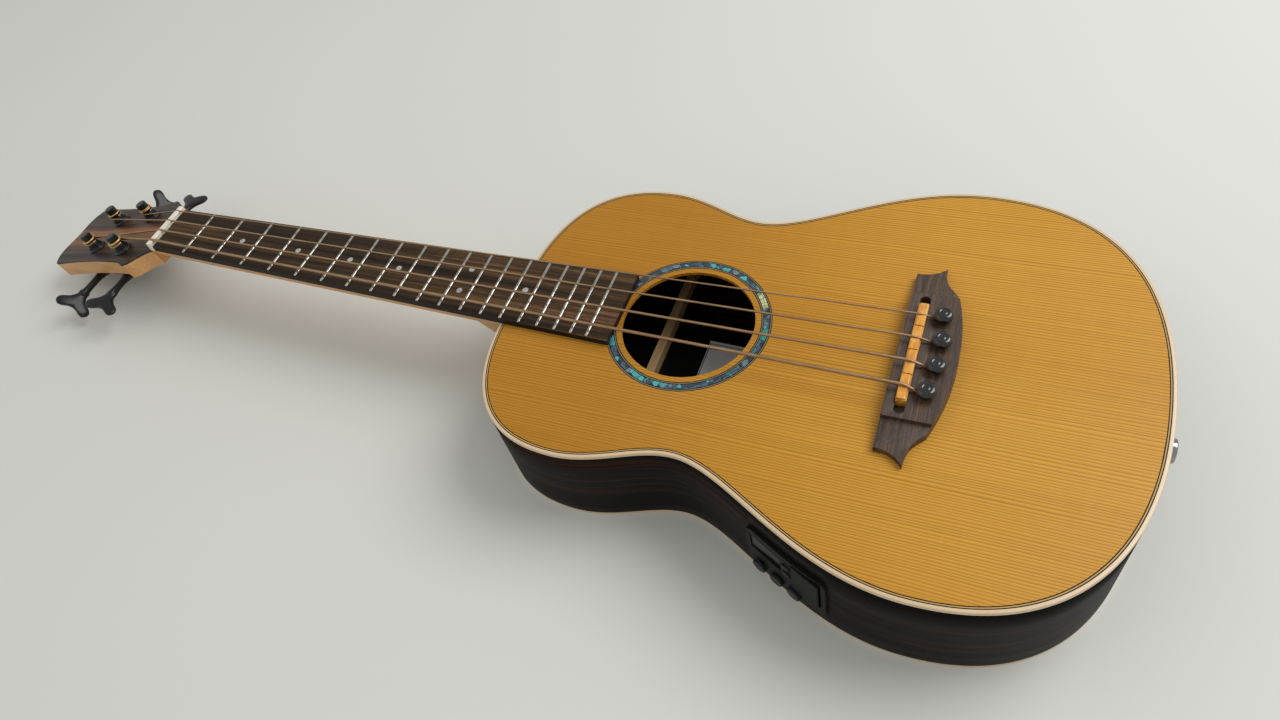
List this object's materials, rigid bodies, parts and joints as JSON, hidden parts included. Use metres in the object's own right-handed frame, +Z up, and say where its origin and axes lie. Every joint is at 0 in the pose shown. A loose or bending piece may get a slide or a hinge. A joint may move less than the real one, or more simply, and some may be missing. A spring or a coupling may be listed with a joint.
{
  "type": "acoustic-electric bass guitar",
  "caption": "Short-scale acoustic-electric bass guitar: hollow waisted body, tilted head with worm-gear tuners, belly bridge, preamp in the side and an end-pin jack.",
  "frame": {"origin": "bottom centre of the whole box, on the plane of the flat back", "axes": "+X from the head to the tail, +Y to the treble side, +Z up out of the soundboard; the back lies flat on z = 0"},
  "size_m": [0.869, 0.2918, 0.092],
  "materials": {
    "spruce_top": "satin",
    "purfling": "satin",
    "maple_binding": "satin",
    "abalone": "gloss",
    "ebony_back": "satin",
    "ebony_side": "satin",
    "lining_wood": "raw",
    "mahogany": "satin",
    "brace_wood": "raw",
    "label_paper": "matte",
    "steel": "plain",
    "head_veneer": "satin",
    "rosewood_board": "satin",
    "fret_wire": "polished",
    "pearl": "gloss",
    "bone": "satin",
    "rosewood_bridge": "oiled",
    "bone_amber": "satin",
    "pickup": "plain",
    "black_gloss": "gloss",
    "tuner_black": "semi gloss",
    "preamp_black": "satin",
    "screen_glass": "gloss",
    "battery_skin": "satin",
    "jack_chrome": "polished",
    "lead_rubber": "matte",
    "bronze_string": "wound",
    "knob_grey": "satin"
  },
  "bodies": {
    "root": {"soundboard": "spruce_top", "top_purfling": "purfling", "top_binding": "maple_binding", "rosette_abalone": "abalone", "rosette_lines": "purfling", "back_plate": "ebony_back", "back_binding": "maple_binding", "side_bass": "ebony_side", "side_treble": "ebony_side", "linings": "lining_wood", "neck_block": "mahogany", "tail_block": "mahogany", "top_braces": "brace_wood", "back_braces": "brace_wood", "bridge_plate": "brace_wood", "label": "label_paper", "neck": "mahogany", "truss_rod": "steel", "headstock_veneer": "head_veneer", "fretboard": "rosewood_board", "frets": "fret_wire", "position_dots": "pearl", "nut": "bone", "bridge": "rosewood_bridge", "saddle": "bone_amber", "saddle_pickup": "pickup", "bridge_pins": "black_gloss", "tuner_bushings": "tuner_black", "tuner_plates": "tuner_black", "tuner_screws": "tuner_black", "preamp_panel": "preamp_black", "preamp_housing": "preamp_black", "preamp_screen": "screen_glass", "battery": "battery_skin", "jack_barrel": "jack_chrome", "jack_nut": "jack_chrome", "inner_leads": "lead_rubber", "string_e": "bronze_string", "string_a": "bronze_string", "string_d": "bronze_string", "string_g": "bronze_string"},
    "post_e": {"tuner_post_e": "tuner_black", "winding_e": "bronze_string"},
    "key_e": {"tuner_key_e": "tuner_black"},
    "post_a": {"tuner_post_a": "tuner_black", "winding_a": "bronze_string"},
    "key_a": {"tuner_key_a": "tuner_black"},
    "post_d": {"tuner_post_d": "tuner_black", "winding_d": "bronze_string"},
    "key_d": {"tuner_key_d": "tuner_black"},
    "post_g": {"tuner_post_g": "tuner_black", "winding_g": "bronze_string"},
    "key_g": {"tuner_key_g": "tuner_black"},
    "volume_knob": {"volume_knob": "knob_grey"},
    "bass_knob": {"bass_knob": "knob_grey"},
    "treble_knob": {"treble_knob": "knob_grey"},
    "tuner_button": {"tuner_button": "knob_grey"},
    "phase_button": {"phase_button": "knob_grey"},
    "battery_door": {"battery_door": "preamp_black"}
  },
  "joints": [
    {"name": "post_turn_e", "type": "hinge", "parent": "root", "child": "post_e", "pos_m": [-0.34335, -0.0193, 0.05126], "axis": [-0.2412, 0, 0.9705], "continuous": true},
    {"name": "key_turn_e", "type": "hinge", "parent": "root", "child": "key_e", "pos_m": [-0.34833, -0.0193, 0.02859], "axis": [0, 1, 0], "continuous": true},
    {"name": "post_turn_a", "type": "hinge", "parent": "root", "child": "post_a", "pos_m": [-0.3846, -0.016, 0.04101], "axis": [-0.2412, 0, 0.9705], "continuous": true},
    {"name": "key_turn_a", "type": "hinge", "parent": "root", "child": "key_a", "pos_m": [-0.38958, -0.016, 0.01834], "axis": [0, 1, 0], "continuous": true},
    {"name": "post_turn_d", "type": "hinge", "parent": "root", "child": "post_d", "pos_m": [-0.3846, 0.016, 0.04101], "axis": [-0.2412, 0, 0.9705], "continuous": true},
    {"name": "key_turn_d", "type": "hinge", "parent": "root", "child": "key_d", "pos_m": [-0.38958, 0.016, 0.01834], "axis": [0, 1, 0], "continuous": true},
    {"name": "post_turn_g", "type": "hinge", "parent": "root", "child": "post_g", "pos_m": [-0.34335, 0.0193, 0.05126], "axis": [-0.2412, 0, 0.9705], "continuous": true},
    {"name": "key_turn_g", "type": "hinge", "parent": "root", "child": "key_g", "pos_m": [-0.34833, 0.0193, 0.02859], "axis": [0, 1, 0], "continuous": true},
    {"name": "volume_knob_turn", "type": "hinge", "parent": "root", "child": "volume_knob", "pos_m": [0.22886, -0.12033, 0.01653], "axis": [-0.4368, -0.8995, -0.0103], "range_deg": [-140, 140]},
    {"name": "bass_knob_turn", "type": "hinge", "parent": "root", "child": "bass_knob", "pos_m": [0.24055, -0.12601, 0.01681], "axis": [-0.4368, -0.8995, -0.0103], "range_deg": [-140, 140]},
    {"name": "treble_knob_turn", "type": "hinge", "parent": "root", "child": "treble_knob", "pos_m": [0.25224, -0.13169, 0.01709], "axis": [-0.4368, -0.8995, -0.0103], "range_deg": [-140, 140]},
    {"name": "tuner_button_push", "type": "slide", "parent": "root", "child": "tuner_button", "axis": [0.4368, 0.8995, 0.0103], "range_m": [0, 0.0008], "stiffness_N_per_m": 900},
    {"name": "phase_button_push", "type": "slide", "parent": "root", "child": "phase_button", "axis": [0.4368, 0.8995, 0.0103], "range_m": [0, 0.0008], "stiffness_N_per_m": 900},
    {"name": "battery_door_swing", "type": "hinge", "parent": "root", "child": "battery_door", "pos_m": [0.26583, -0.14052, 0.03711], "axis": [-0.0237, 0, 0.9997], "range_deg": [0, 95]}
  ],
  "couplings": [
    {"joint": "key_turn_e", "follows": "post_turn_e", "ratio": -20},
    {"joint": "key_turn_a", "follows": "post_turn_a", "ratio": -20},
    {"joint": "key_turn_d", "follows": "post_turn_d", "ratio": -20},
    {"joint": "key_turn_g", "follows": "post_turn_g", "ratio": -20}
  ]
}
